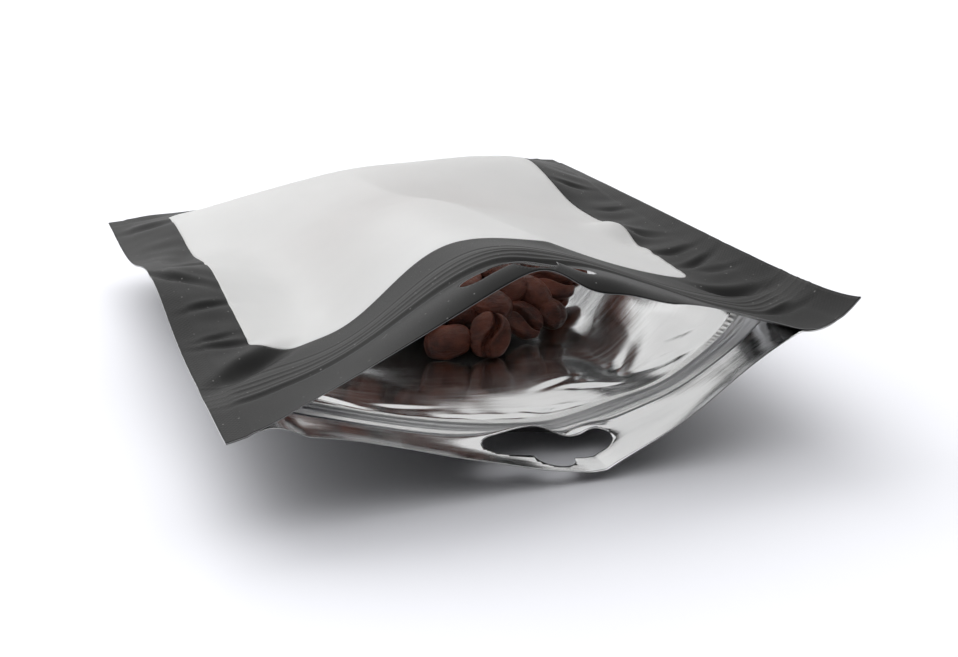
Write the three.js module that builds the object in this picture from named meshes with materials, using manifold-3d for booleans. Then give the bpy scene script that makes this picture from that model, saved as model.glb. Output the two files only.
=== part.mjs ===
// Zip-lock foil pouch lying on its back with its mouth open, some coffee beans inside.
// Millimetres, +Z up, on the table at z = 0 and centred in plan.
// X runs across the mouth, Y from the mouth to the bottom seal.
// Both panels are height fields over a flat sheet: s goes from -1 to 1 across it,
// and t is the distance from the mouth edge.
import * as THREE from 'three';
import { mergeVertices } from 'three/addons/utils/BufferGeometryUtils.js';
import Module from 'manifold-3d';

const wasm = await Module();
wasm.setup();

// Flat pouch
const POUCH_WIDTH = 160;
const POUCH_LENGTH = 206;
const HALF_WIDTH = POUCH_WIDTH / 2;
const FILM = 0.5;
const CLEARANCE = 0.3;
const SEAL_STEP = 0.95;
const SIDE_SEAL = 5.5;
const BOTTOM_SEAL = 8;
const SIDE_OPENING_RUN = 14;
const BOTTOM_OPENING_RUN = 40;
const GRID_COLUMNS = 28;
const GRID_ROWS = 24;
const ROW_CROWDING = 1.3;

// The open mouth draws the sides together
const MOUTH_NARROWING = 0.079;
const NARROWING_RUN = 138;

// Side seals: height above the table, a lifted stretch on the left, a curled rim on the right
const LEFT_SEAL_HEIGHT = 22;
const LEFT_SEAL_FALL = 2.6;
const LEFT_LIFT = { rise: 8.8, at: 104, run: 33 };
const RIGHT_SEAL_HEIGHT = 26.4;
const RIGHT_SEAL_CLIMB = 3.4;
const RIGHT_RIM = { rise: 10.4, from: 0.782 };

// Front panel: arch at the mouth edge, ridge running back from it, pillow at the far end
const LIP_RUN = 11;
const LIP_ARCH = { rise: 19.7, at: -0.093, left: 0.984, right: 0.464, peak: 0.186 };
const LIP_SHOULDER = { rise: 15.3, at: 0.349, run: 0.479 };
const LIP_DIP = { depth: 3.7, at: 0.113, run: 0.11 };
const RIDGE = { rise: 29, at: -0.075, left: 0.506, right: 0.624, length: 189, edge: 6 };
const RIDGE_END_RUN = 30;
const CREST_ROUNDING = 0.04;
const LEFT_HOLLOW = { depth: 12.6, at: -0.48, run: 0.25, along: 85, reach: 50 };
const PILLOW = { rise: 13.3, lean: 0.09, at: 174, run: 32, seam: 15 };
const FAR_SHOULDER = { rise: 3.5, at: 0.68, run: 0.33, from: 120, to: 170, edge: 8 };
const FRONT_LIP_SETBACK = 5.5;
const SETBACK_RUN = 50;

// Back panel: trough at the mouth edge that widens into a flat belly on the table
const BACK_LEFT_HEIGHT = 23.4;
const BACK_RIGHT_HEIGHT = 33.6;
const BACK_RIGHT_FALL = 6.5;
const TROUGH_RUN = 32;
const TROUGH = { depth: 25.6, at: 0.12, left: 1, right: 0.68, peak: 0.7 };
const BELLY = { depth: 26.7, extra: 5, at: 0.42, left: 1.39, right: 0.5, power: 2.4 };
const BELLY_DEEPENS = { from: 50, to: 110 };
const TABLE_BLEND = 4;
const BACK_LIP_REACH = 1;
const BACK_LIP_REACH_RUN = 40;
const BACK_LIP_SETBACK = 4.4;

// The back lip humps up on the far side of its hang hole
const LIP_HUMPS = [
  { rise: 5.1, x: 0.8, left: 13, right: 8.9 },
  { rise: 2.3, x: 16.2, left: 5.5, right: 5.5 },
];
const HUMPS_ALONG = { at: 17, run: 6 };

// Window in the front panel
const WINDOW = { left: 17.3, right: 17.1, near: 55, far: 190, corner: 9, columns: 24, rows: 20 };

// Hang hole in both lips: a slot with a round bump towards the mouth edge
const HANG_SLOT = { width: 32, near: 11.3, far: 19.3 };
const HANG_BUMP_RADIUS = 5;
const FRONT_HANG = { x: -2.6, y: 0 };
const BACK_HANG = { x: 2.7, y: 0 };
const HOLE_DIVISIONS = 6;
const CUTTER_HEIGHT = 100;

// Zip: one strip on each panel's inner face, thin flanges each side of a profile
const ZIP = { near: 21.5, far: 35.5, flange: 0.5, profile: 1, lift: 0.5 };
const ZIP_PROFILE = { near: 26, far: 31, slope: 0.8 };
const ZIP_REACH = { left: -0.78, right: 0.76 };

const MERGE_DISTANCE = 1e-5;

// Coffee beans: a heap with the beans that show fused to its core
const BEAN = { length: 12, width: 9.6, height: 7.4, back: 0.65, flat: 0.35, groove: 0.3, taper: 0.8 };
const SHOWN_BEAN = { sides: 10, steps: 6 };
const COVER_BEAN = { sides: 8, steps: 5 };
const HEAP = { x: 8, y: 123, alongX: 38, alongY: 30, rim: 7.1, above: 16, below: 6 };
const HEAP_LIFT = 0.6;
const CORE_SIDES = 14;
const CORE_RINGS = 8;
const COVER = { count: 25, start: 0.5, reach: 0.95, smallest: 0.92, largest: 1.05 };
const GOLDEN_ANGLE = Math.PI * (3 - Math.sqrt(5));
const RANDOM_SEED = 7;
const RANDOM_FACTOR = 1664525;
const RANDOM_STEP = 1013904223;
const RANDOM_RANGE = 2 ** 32;
// Beans at the mouth side of the heap: place, height of the centre, heading, roll (degrees)
const FRONT_BEANS = [
  { x: 2.3, y: 91, z: 5.7, heading: -14, roll: 20 },
  { x: 14.4, y: 90, z: 6.1, heading: 60, roll: 200 },
  { x: 27.6, y: 99.6, z: 6.6, heading: -25, roll: 215 },
  { x: 38.2, y: 105.4, z: 6.4, heading: 20, roll: 160 },
  { x: 41, y: 110.4, z: 13.4, heading: -12, roll: 190 },
  { x: -9.8, y: 93.6, z: 6.2, heading: 60, roll: 40 },
  { x: 4, y: 98, z: 12.4, heading: 15, roll: 10 },
  { x: 16.5, y: 100.5, z: 13.2, heading: -30, roll: 150 },
  { x: 28.5, y: 108, z: 14.4, heading: 30, roll: 120 },
];

const COLOURS = {
  charcoal: 0x3a3b3d,
  frosted: 0xdfe0e1,
  foil: 0xb9bcc0,
  zip: 0xcfd2d6,
  bean: 0x2e1a12,
};

const gauss = (q) => Math.exp(-q * q);
const clamp = THREE.MathUtils.clamp;
const lerp = THREE.MathUtils.lerp;
const smooth = THREE.MathUtils.smoothstep;

// Rounded hump of height 1 between -left and right; peak is the share of a straight-sided tent in it.
function hump(q, left, right, peak) {
  const reach = q < 0 ? -q / left : q / right;
  const distance = clamp(Math.hypot(reach, CREST_ROUNDING) - CREST_ROUNDING, 0, 1);
  return peak * (1 - distance) + (1 - peak) * 0.5 * (1 + Math.cos(Math.PI * distance));
}

// 0 inside the seals, 1 where the panels have come apart.
function apart(s, t) {
  const side = smooth((1 - Math.abs(s)) * HALF_WIDTH - SIDE_SEAL, 0, SIDE_OPENING_RUN);
  const bottom = smooth(POUCH_LENGTH - t - BOTTOM_SEAL, 0, BOTTOM_OPENING_RUN);
  return side * bottom;
}

function planX(s, t) {
  return s * HALF_WIDTH * (1 - MOUTH_NARROWING * gauss(t / NARROWING_RUN));
}

function frontY(s, t) {
  return t + FRONT_LIP_SETBACK * Math.exp(-t / SETBACK_RUN) * (1 - s * s) * apart(s, t);
}

function backY(s, t) {
  const reach = BACK_LIP_REACH * Math.exp(-t / BACK_LIP_REACH_RUN);
  const setback = BACK_LIP_SETBACK * Math.exp(-t / SETBACK_RUN) * (1 - s * s);
  return t + (setback - reach) * apart(s, t);
}

function sealPlane(s, t) {
  const along = t / POUCH_LENGTH;
  const lift = LEFT_LIFT.rise * gauss((t - LEFT_LIFT.at) / LEFT_LIFT.run);
  const left = LEFT_SEAL_HEIGHT + lift - LEFT_SEAL_FALL * along;
  const right = RIGHT_SEAL_HEIGHT + RIGHT_SEAL_CLIMB * along;
  const rim = clamp((s - RIGHT_RIM.from) / (1 - RIGHT_RIM.from), 0, 1);
  return lerp(left, right, (s + 1) / 2) + RIGHT_RIM.rise * rim * rim * (1 - along);
}

function frontHeight(s, t) {
  const lip = Math.exp(-t / LIP_RUN);
  const arch = LIP_ARCH.rise * hump(s - LIP_ARCH.at, LIP_ARCH.left, LIP_ARCH.right, LIP_ARCH.peak)
    + LIP_SHOULDER.rise * gauss((s - LIP_SHOULDER.at) / LIP_SHOULDER.run)
    - LIP_DIP.depth * gauss((s - LIP_DIP.at) / LIP_DIP.run);
  const across = s - RIDGE.at;
  const ridge = RIDGE.rise * (1 - t / RIDGE.length)
    * gauss(across / (across < 0 ? RIDGE.left : RIDGE.right))
    * (1 - s ** RIDGE.edge) * clamp((POUCH_LENGTH - t) / RIDGE_END_RUN, 0, 1);
  const hollow = LEFT_HOLLOW.depth * gauss((s - LEFT_HOLLOW.at) / LEFT_HOLLOW.run)
    * gauss((t - LEFT_HOLLOW.along) / LEFT_HOLLOW.reach);
  const pillow = PILLOW.rise * (1 - s * s) * (1 + PILLOW.lean * s)
    * gauss((t - PILLOW.at) / PILLOW.run) * (1 - Math.exp((t - POUCH_LENGTH) / PILLOW.seam));
  const shoulder = FAR_SHOULDER.rise * gauss((s - FAR_SHOULDER.at) / FAR_SHOULDER.run)
    * (1 - s ** FAR_SHOULDER.edge) * smooth(t, FAR_SHOULDER.from, FAR_SHOULDER.to);
  return sealPlane(s, t) + lip * arch + (1 - lip) * ridge - hollow + pillow + shoulder;
}

// Height of the trough and belly, levelled off where it would sink into the table.
function bellyHeight(s, t) {
  const right = BACK_RIGHT_HEIGHT - BACK_RIGHT_FALL * t / POUCH_LENGTH;
  const rim = lerp(BACK_LEFT_HEIGHT, right, (s + 1) / 2);
  const mouth = Math.exp(-t / TROUGH_RUN);
  const trough = TROUGH.depth * hump(s - TROUGH.at, TROUGH.left, TROUGH.right, TROUGH.peak);
  const across = Math.abs((s - BELLY.at) / (s < BELLY.at ? BELLY.left : BELLY.right));
  const depth = BELLY.depth + BELLY.extra * smooth(t, BELLY_DEEPENS.from, BELLY_DEEPENS.to);
  const height = rim - mouth * trough - (1 - mouth) * depth * (1 - across ** BELLY.power);
  if (height >= TABLE_BLEND) {
    return height;
  }
  return height <= -TABLE_BLEND ? 0 : (height + TABLE_BLEND) ** 2 / (4 * TABLE_BLEND);
}

function lipHumps(s, t) {
  const x = s * HALF_WIDTH;
  return LIP_HUMPS.reduce((height, bump) => {
    const across = (x - bump.x) / (x < bump.x ? bump.left : bump.right);
    return height + bump.rise * gauss(across) * gauss((t - HUMPS_ALONG.at) / HUMPS_ALONG.run);
  }, 0);
}

function backHeight(s, t) {
  const sealed = frontHeight(s, t) - SEAL_STEP;
  const belly = bellyHeight(s, t) + lipHumps(s, t) + FILM / 2;
  return sealed - apart(s, t) * Math.max(sealed - belly, 0);
}

function frontPoint(s, t, rise) {
  return new THREE.Vector3(planX(s, t), frontY(s, t), frontHeight(s, t) + rise);
}

function backPoint(s, t, rise) {
  return new THREE.Vector3(planX(s, t), backY(s, t), backHeight(s, t) + rise);
}

// Closed slab between two grids of points, given as functions of (s, t).
function slabGeometry(columns, rows, upper, lower) {
  const positions = [];
  const indices = [];
  const across = columns.length;
  const layer = across * rows.length;
  for (const surface of [upper, lower]) {
    for (const t of rows) {
      for (const s of columns) {
        positions.push(...surface(s, t).toArray());
      }
    }
  }
  const quad = (a, b, c, d) => indices.push(a, b, c, a, c, d);
  const lastRow = rows.length - 1;
  const lastColumn = across - 1;
  for (let row = 0; row < lastRow; row += 1) {
    for (let column = 0; column < lastColumn; column += 1) {
      const a = row * across + column;
      quad(a, a + 1, a + across + 1, a + across);
      const b = a + layer;
      quad(b, b + across, b + across + 1, b + 1);
    }
  }
  for (let column = 0; column < lastColumn; column += 1) {
    const near = column;
    quad(near, near + layer, near + layer + 1, near + 1);
    const far = lastRow * across + column;
    quad(far, far + 1, far + layer + 1, far + layer);
  }
  for (let row = 0; row < lastRow; row += 1) {
    const left = row * across;
    quad(left, left + across, left + across + layer, left + layer);
    const right = left + lastColumn;
    quad(right, right + layer, right + across + layer, right + across);
  }
  const geometry = new THREE.BufferGeometry();
  geometry.setAttribute('position', new THREE.Float32BufferAttribute(positions, 3));
  geometry.setIndex(indices);
  return geometry;
}

function toManifold(geometry) {
  const bare = geometry.clone();
  bare.deleteAttribute('normal');
  bare.deleteAttribute('uv');
  const merged = mergeVertices(bare, MERGE_DISTANCE);
  return new wasm.Manifold(new wasm.Mesh({
    numProp: 3,
    vertProperties: new Float32Array(merged.attributes.position.array),
    triVerts: new Uint32Array(merged.index.array),
  }));
}

function toGeometry(solid) {
  const mesh = solid.getMesh();
  const geometry = new THREE.BufferGeometry();
  geometry.setAttribute('position', new THREE.Float32BufferAttribute(mesh.vertProperties, 3));
  geometry.setIndex(Array.from(mesh.triVerts));
  return geometry;
}

function spread(from, to, count) {
  return Array.from({ length: count + 1 }, (_, i) => lerp(from, to, i / count));
}

// Grid lines shared by both panels: one along each seal's inner edge, crowded at the mouth.
const sealEdge = 1 - SIDE_SEAL / HALF_WIDTH;
const sealStart = POUCH_LENGTH - BOTTOM_SEAL;
const panelColumns = [-1, ...spread(-sealEdge, sealEdge, GRID_COLUMNS), 1];
const panelRows = spread(0, 1, GRID_ROWS).map((row) => sealStart * row ** ROW_CROWDING);
panelRows.push(POUCH_LENGTH);

function panelSolid(point) {
  const upper = (s, t) => point(s, t, FILM / 2);
  const lower = (s, t) => point(s, t, -FILM / 2);
  return toManifold(slabGeometry(panelColumns, panelRows, upper, lower));
}

// Upright prism over an outline in the plan, taller than the pouch.
function cutter(outline) {
  const prism = new THREE.ExtrudeGeometry(new THREE.Shape(outline), {
    depth: CUTTER_HEIGHT,
    bevelEnabled: false,
  });
  prism.translate(0, 0, -CUTTER_HEIGHT / 4);
  return toManifold(prism);
}

// Rounded rectangle in the flat sheet, drawn in the plan where the front panel carries it.
function windowOutline(inset) {
  const left = -HALF_WIDTH + WINDOW.left + inset;
  const right = HALF_WIDTH - WINDOW.right - inset;
  const near = WINDOW.near + inset;
  const far = WINDOW.far - inset;
  const radius = WINDOW.corner - inset;
  const flat = [];
  const corner = (x, y, start) => {
    for (let i = 0; i <= HOLE_DIVISIONS; i += 1) {
      const angle = start + (i / HOLE_DIVISIONS) * Math.PI / 2;
      flat.push([x + radius * Math.cos(angle), y + radius * Math.sin(angle)]);
    }
  };
  const side = (x0, y0, x1, y1, count) => {
    for (let i = 1; i < count; i += 1) {
      flat.push([lerp(x0, x1, i / count), lerp(y0, y1, i / count)]);
    }
  };
  corner(right - radius, far - radius, 0);
  side(right - radius, far, left + radius, far, WINDOW.columns);
  corner(left + radius, far - radius, Math.PI / 2);
  side(left, far - radius, left, near + radius, WINDOW.rows);
  corner(left + radius, near + radius, Math.PI);
  side(left + radius, near, right - radius, near, WINDOW.columns);
  corner(right - radius, near + radius, 1.5 * Math.PI);
  side(right, near + radius, right, far - radius, WINDOW.rows);
  return flat.map(([x, t]) => {
    const s = x / HALF_WIDTH;
    return new THREE.Vector2(planX(s, t), frontY(s, t));
  });
}

// Slot with round ends and a round bump on its mouth side.
function hangOutline(at) {
  const radius = (HANG_SLOT.far - HANG_SLOT.near) / 2;
  const middle = at.y + (HANG_SLOT.near + HANG_SLOT.far) / 2;
  const straight = HANG_SLOT.width / 2 - radius;
  const outline = [];
  const arc = (x, y, r, start, sweep) => {
    for (let i = 0; i <= HOLE_DIVISIONS; i += 1) {
      const angle = start + sweep * i / HOLE_DIVISIONS;
      outline.push(new THREE.Vector2(x + r * Math.cos(angle), y + r * Math.sin(angle)));
    }
  };
  arc(at.x + straight, middle, radius, -Math.PI / 2, Math.PI);
  arc(at.x - straight, middle, radius, Math.PI / 2, Math.PI);
  arc(at.x, middle - radius, HANG_BUMP_RADIUS, Math.PI, Math.PI);
  return outline;
}

// Half of the zip: flanges with a raised profile, lying on the inner face of its panel.
function zipGeometry(point, facing) {
  const columns = panelColumns.filter((s) => s > ZIP_REACH.left && s < ZIP_REACH.right);
  const rows = [
    ZIP.near,
    ZIP_PROFILE.near - ZIP_PROFILE.slope,
    ZIP_PROFILE.near,
    ZIP_PROFILE.far,
    ZIP_PROFILE.far + ZIP_PROFILE.slope,
    ZIP.far,
  ];
  const base = FILM / 2 + ZIP.lift;
  const rise = (t) => {
    const raised = t >= ZIP_PROFILE.near && t <= ZIP_PROFILE.far;
    return base + ZIP.flange + (raised ? ZIP.profile : 0);
  };
  const outer = (s, t) => point(s, t, facing * base);
  const inner = (s, t) => point(s, t, facing * rise(t));
  return facing > 0
    ? slabGeometry(columns, rows, inner, outer)
    : slabGeometry(columns, rows, outer, inner);
}

// One bean lying along X: round back up, flat face with a groove down.
function beanGeometry({ sides, steps }) {
  const positions = [];
  const indices = [];
  const ring = (step, side) => 1 + (step - 1) * sides + (side % sides);
  positions.push(-BEAN.length / 2, 0, 0);
  for (let step = 1; step < steps; step += 1) {
    const along = Math.PI * step / steps;
    const girth = Math.sin(along) ** BEAN.taper;
    for (let side = 0; side < sides; side += 1) {
      const angle = -Math.PI / 2 + 2 * Math.PI * side / sides;
      const up = Math.sin(angle);
      const groove = side === 0 ? 1 - BEAN.groove / BEAN.flat : 1;
      const height = up * BEAN.height * (up > 0 ? BEAN.back : BEAN.flat * groove);
      positions.push(
        -Math.cos(along) * BEAN.length / 2,
        Math.cos(angle) * girth * BEAN.width / 2,
        height * girth,
      );
    }
  }
  positions.push(BEAN.length / 2, 0, 0);
  const last = positions.length / 3 - 1;
  for (let side = 0; side < sides; side += 1) {
    indices.push(0, ring(1, side + 1), ring(1, side));
    indices.push(last, ring(steps - 1, side), ring(steps - 1, side + 1));
    for (let step = 1; step < steps - 1; step += 1) {
      const a = ring(step, side);
      const b = ring(step, side + 1);
      const c = ring(step + 1, side + 1);
      const d = ring(step + 1, side);
      indices.push(a, b, c, a, c, d);
    }
  }
  const geometry = new THREE.BufferGeometry();
  geometry.setAttribute('position', new THREE.Float32BufferAttribute(positions, 3));
  geometry.setIndex(indices);
  return geometry;
}

function seededRandom(seed) {
  let state = seed;
  return () => {
    state = (state * RANDOM_FACTOR + RANDOM_STEP) % RANDOM_RANGE;
    return state / RANDOM_RANGE;
  };
}

function placedBean(shape, bean) {
  const matrix = new THREE.Matrix4().makeTranslation(bean.x, bean.y, bean.z);
  const heading = new THREE.Matrix4().makeRotationZ(THREE.MathUtils.degToRad(bean.heading));
  const roll = new THREE.Matrix4().makeRotationX(THREE.MathUtils.degToRad(bean.roll));
  const size = bean.size ?? 1;
  const scale = new THREE.Matrix4().makeScale(size, size, size);
  matrix.multiply(heading).multiply(roll).multiply(scale);
  return toManifold(shape.clone().applyMatrix4(matrix));
}

// Beans spread by the golden angle over the heap's dome, clear of the back panel.
function coverBeans() {
  const random = seededRandom(RANDOM_SEED);
  return Array.from({ length: COVER.count }, (_, i) => {
    const reach = Math.sqrt((i + COVER.start) / COVER.count) * COVER.reach;
    const angle = i * GOLDEN_ANGLE;
    const x = HEAP.x + HEAP.alongX * reach * Math.cos(angle);
    const y = HEAP.y + HEAP.alongY * reach * Math.sin(angle);
    const outerEnd = x + Math.sign(Math.cos(angle)) * BEAN.length / 2;
    const ground = backHeight(outerEnd / HALF_WIDTH, y) + FILM / 2 + HEAP_LIFT;
    return {
      x,
      y,
      z: Math.max(HEAP.rim + HEAP.above * Math.sqrt(1 - reach * reach), ground + BEAN.width / 2),
      heading: 360 * random(),
      roll: 360 * random(),
      size: lerp(COVER.smallest, COVER.largest, random()),
    };
  });
}

// Lens with a steep dome above its rim and a shallow bowl below it.
function heapCore() {
  const core = new THREE.SphereGeometry(1, CORE_SIDES, CORE_RINGS);
  core.rotateX(Math.PI / 2);
  const { position } = core.attributes;
  for (let i = 0; i < position.count; i += 1) {
    const up = position.getZ(i);
    position.setZ(i, up * (up > 0 ? HEAP.above : HEAP.below));
  }
  core.scale(HEAP.alongX, HEAP.alongY, 1);
  core.translate(HEAP.x, HEAP.y, HEAP.rim);
  return toManifold(core);
}

function beanHeap() {
  const shownBean = beanGeometry(SHOWN_BEAN);
  const coverBean = beanGeometry(COVER_BEAN);
  let heap = heapCore();
  for (const place of FRONT_BEANS) {
    heap = heap.add(placedBean(shownBean, place));
  }
  for (const place of coverBeans()) {
    heap = heap.add(placedBean(coverBean, place));
  }
  return heap;
}

function material(colour, roughness, metalness, opacity = 1) {
  return new THREE.MeshStandardMaterial({
    color: colour,
    roughness,
    metalness,
    opacity,
    transparent: opacity < 1,
    side: THREE.DoubleSide,
  });
}

function named(name, geometry, look) {
  geometry.computeVertexNormals();
  const mesh = new THREE.Mesh(geometry, look);
  mesh.name = name;
  return mesh;
}

const charcoalLook = material(COLOURS.charcoal, 0.55, 0);
const frostedLook = material(COLOURS.frosted, 0.5, 0, 0.85);
const foilLook = material(COLOURS.foil, 0.25, 1);
const zipLook = material(COLOURS.zip, 0.3, 0);
const beanLook = material(COLOURS.bean, 0.45, 0);

const frontSheet = panelSolid(frontPoint);
const frontHang = cutter(hangOutline(FRONT_HANG));
const frontPanel = frontSheet.subtract(cutter(windowOutline(0))).subtract(frontHang);
const windowPane = frontSheet.intersect(cutter(windowOutline(CLEARANCE)));
const backPanel = panelSolid(backPoint).subtract(cutter(hangOutline(BACK_HANG)));

const pouch = new THREE.Group();
pouch.name = 'foil_pouch';
pouch.position.y = -POUCH_LENGTH / 2;
pouch.add(
  named('front_panel', toGeometry(frontPanel), charcoalLook),
  named('window', toGeometry(windowPane), frostedLook),
  named('back_panel', toGeometry(backPanel), foilLook),
  named('zip_front', zipGeometry(frontPoint, -1), zipLook),
  named('zip_back', zipGeometry(backPoint, 1), zipLook),
  named('coffee_beans', toGeometry(beanHeap()), beanLook),
);

export default pouch;
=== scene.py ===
"""A zip-lock foil pouch lying open on a pale floor with coffee beans inside.

Both films are height fields over a flat sheet. Across it, s runs from -1 to 1, and t is the
distance from the mouth edge. Lengths in the formulas are millimetres; meshes are made in metres,
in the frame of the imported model: X across the mouth, Y from the mouth to the bottom seal, Z up.
"""
import math

import bpy
import numpy as np
from bpy.props import FloatProperty, FloatVectorProperty, IntProperty, PointerProperty
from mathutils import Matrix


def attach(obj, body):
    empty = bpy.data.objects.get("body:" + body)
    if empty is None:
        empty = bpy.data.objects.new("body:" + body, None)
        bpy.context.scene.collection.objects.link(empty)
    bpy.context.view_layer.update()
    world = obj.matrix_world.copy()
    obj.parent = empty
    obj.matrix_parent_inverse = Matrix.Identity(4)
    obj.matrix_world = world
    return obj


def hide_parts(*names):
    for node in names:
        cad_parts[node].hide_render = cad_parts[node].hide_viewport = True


bl_info = {
    "name": "Foil pouch",
    "version": (1, 0, 0),
    "blender": (4, 5, 0),
    "location": "3D View > Sidebar > Pouch",
    "description": "Builds a zip-lock foil pouch with coffee beans and its studio stage",
    "category": "Add Mesh",
}

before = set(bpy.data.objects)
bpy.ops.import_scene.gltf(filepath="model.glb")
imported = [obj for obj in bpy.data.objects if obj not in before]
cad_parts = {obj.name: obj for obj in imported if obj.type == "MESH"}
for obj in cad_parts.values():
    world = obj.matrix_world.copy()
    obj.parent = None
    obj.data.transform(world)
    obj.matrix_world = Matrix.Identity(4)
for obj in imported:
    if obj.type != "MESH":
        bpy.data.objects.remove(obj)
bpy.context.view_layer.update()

MM = 0.001
BODY = "root"

# Flat pouch
WIDTH = 160
LENGTH = 206
HALF = WIDTH / 2
SIDE_SEAL = 5.5
BOTTOM_SEAL = 8
SIDE_OPENING_RUN = 14
BOTTOM_OPENING_RUN = 40
SEAL_STEP = 0.22
FILM = 0.16
UV_SPAN = 100

# How far a point may be from an outline and still count as on it
ON_OUTLINE = 0.02

# The open mouth draws the sides together
MOUTH_NARROWING = 0.079
NARROWING_RUN = 138

# Side seals
LEFT_SEAL_HEIGHT = 22
LEFT_SEAL_FALL = 2.6
LEFT_LIFT = {"rise": 8.8, "at": 104, "run": 33}
RIGHT_SEAL_HEIGHT = 26.4
RIGHT_SEAL_CLIMB = 3.4
RIGHT_RIM = {"rise": 10.4, "start": 0.782}

# Front film: arch at the mouth edge, ridge behind it, pillow at the far end
LIP_RUN = 11
LIP_ARCH = {"rise": 19.7, "at": -0.093, "left": 0.984, "right": 0.464, "peak": 0.186}
LIP_SHOULDER = {"rise": 15.3, "at": 0.349, "run": 0.479}
LIP_DIP = {"depth": 3.7, "at": 0.113, "run": 0.11}
RIDGE = {"rise": 29, "at": -0.075, "left": 0.506, "right": 0.624, "length": 189, "edge": 6}
RIDGE_END_RUN = 30
CREST_ROUNDING = 0.04
LEFT_HOLLOW = {"depth": 12.6, "at": -0.48, "run": 0.25, "along": 85, "reach": 50}
PILLOW = {"rise": 13.3, "lean": 0.09, "at": 174, "run": 32, "seam": 15}
FAR_SHOULDER = {"rise": 3.5, "at": 0.68, "run": 0.33, "along": (120, 170), "edge": 8}
FRONT_SETBACK = 5.5
SETBACK_RUN = 50

# Back film: trough at the mouth edge that widens into a flat belly on the floor
BACK_LEFT_HEIGHT = 23.4
BACK_RIGHT_HEIGHT = 33.6
BACK_RIGHT_FALL = 6.5
TROUGH_RUN = 32
TROUGH = {"depth": 25.6, "at": 0.12, "left": 1, "right": 0.68, "peak": 0.7}
BELLY = {"depth": 26.7, "extra": 5, "at": 0.42, "left": 1.39, "right": 0.5, "power": 2.4}
BELLY_DEEPENS = (50, 110)
TABLE_BLEND = 4
# Humps of the back lip beyond its hang hole: rise, x, run to the left, run to the right
LIP_HUMPS = ((5.1, 0.8, 13, 8.9), (2.3, 16.2, 5.5, 5.5))
HUMPS_ALONG = (17, 6)
BACK_REACH = 1
BACK_REACH_RUN = 40
BACK_SETBACK = 4.4

# Window and hang hole in the flat sheet
WINDOW = {"left": 17.3, "right": 17.1, "near": 53.4, "far": 190, "corner": 5.5}
WINDOW_NARROWS = {"by": 5.5, "along": (98, 150)}
HANG_SLOT = {"width": 32, "near": 11.3, "far": 19.3, "bump": 5}
# Middle of each film's hang hole across the pouch
FRONT_HANG = -2.6
BACK_HANG = 2.7

# Zip: tape edges and its ribs as (distance from the mouth, height, half width)
ZIP_NEAR = 21.5
ZIP_FAR = 35.5
ZIP_MIDDLE = (ZIP_NEAR + ZIP_FAR) / 2
ZIP_HALF = (ZIP_FAR - ZIP_NEAR) / 2
ZIP_REACH = 0.93
ZIP_TAPE = 0.26
ZIP_LIFT = 0.04
ZIP_ROOM = {"start": 0.2, "run": 3.4, "least": 0.01}
ZIP_GRID = (0.9, 0.18)
ZIP_RIBS = ((22.9, 0.16, 0.3), (24.2, 0.16, 0.3), (26.4, 0.95, 0.42), (28.1, 0.55, 0.3),
            (30.3, 0.95, 0.42), (31.8, 0.2, 0.25))
KNURL_FROM = 32.4
KNURL_PITCH = 0.55
KNURL_HEIGHT = 0.07
KNURL_ACROSS = 0.9
# The zip's ends are crushed from here to the sides; the seals' knurl has this pitch
CRUSHED_FROM = (11, 9)
SEAL_KNURL_PITCH = 1.3

# Zip ridges that show through the front film
IMPRINT_RIBS = ((35.8, 0.24, 0.45), (33.4, 0.12, 1.5), (30.7, 0.26, 0.45), (27.6, 0.3, 0.45),
                (24.8, 0.16, 0.4), (22.3, 0.34, 0.8))
IMPRINT_VALLEY = (20.4, 0.3, 0.8)
# How deep the seals are pressed in, and half the run of their inner edge
SEAL_PRESS = {"depth": 0.28, "run": 0.35}
# Ripples: height, seed, number of waves, shortest and longest wave
FRONT_PUCKERS = (0.2, 3, 9, 7, 26)
FRONT_WAVES = (0.16, 5, 9, 22, 60)
BACK_GATHERS = (0.1, 11, 6, 9, 22)
BACK_LIP_RIPPLES = (0.11, 13, 6, 14, 34)
BACK_WAVES = (0.07, 17, 10, 16, 48)
# Waves of the front lip about its hang hole: t, half width, rise, x, run
LIP_WAVES = ((5, 4.5, 0.9, 0, 24), (18.5, 6, -1.6, -8, 24), (19, 4.5, -1.3, 3, 7))

# Dents in the front film's borders: x, t, heading in degrees, half length, half width, depth
FRONT_DENTS = (
    (65, 150, -20, 5, 2.0, 0.9), (70, 127, -20, 4, 1.8, 0.6), (68.6, 98, -50, 7, 2.2, 1.0),
    (69, 79, -8, 6, 2.0, 0.9), (70.4, 67, 16, 6, 2.2, 1.3), (73, 57, -43, 5, 2.0, 0.9),
    (68.6, 41, -40, 9, 2.6, 2.3), (-72, 101, -41, 9, 2.4, 1.6), (-69, 131, 71, 16, 5.0, 1.3),
    (-69, 82, 17, 6, 1.8, 1.0), (-69, 59.5, -5, 7, 2.0, 1.2), (-71, 64, 8, 5, 1.6, 0.7),
    (-64, 46, 40, 15, 4.2, 3.4), (-69, 181, -27, 8, 3.0, 1.0), (-66, 116, 20, 7, 2.4, 0.7),
    (72, 20, -30, 5, 2.0, 1.2),
)
# Swellings beside the window: x, t, half width, height
FRONT_BUMPS = ((60, 103, 7, 2.6), (61, 90, 5, -1.0), (-62, 70, 9, 0.8), (59, 146, 9, 0.7))
# Soft fold that runs through the window
FOLD = {"x": 18, "t": 57, "slope": -0.25, "height": 1.9, "run": 8, "rounding": 1.2,
        "starts": (40, 62), "ends": (140, 175)}
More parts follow.
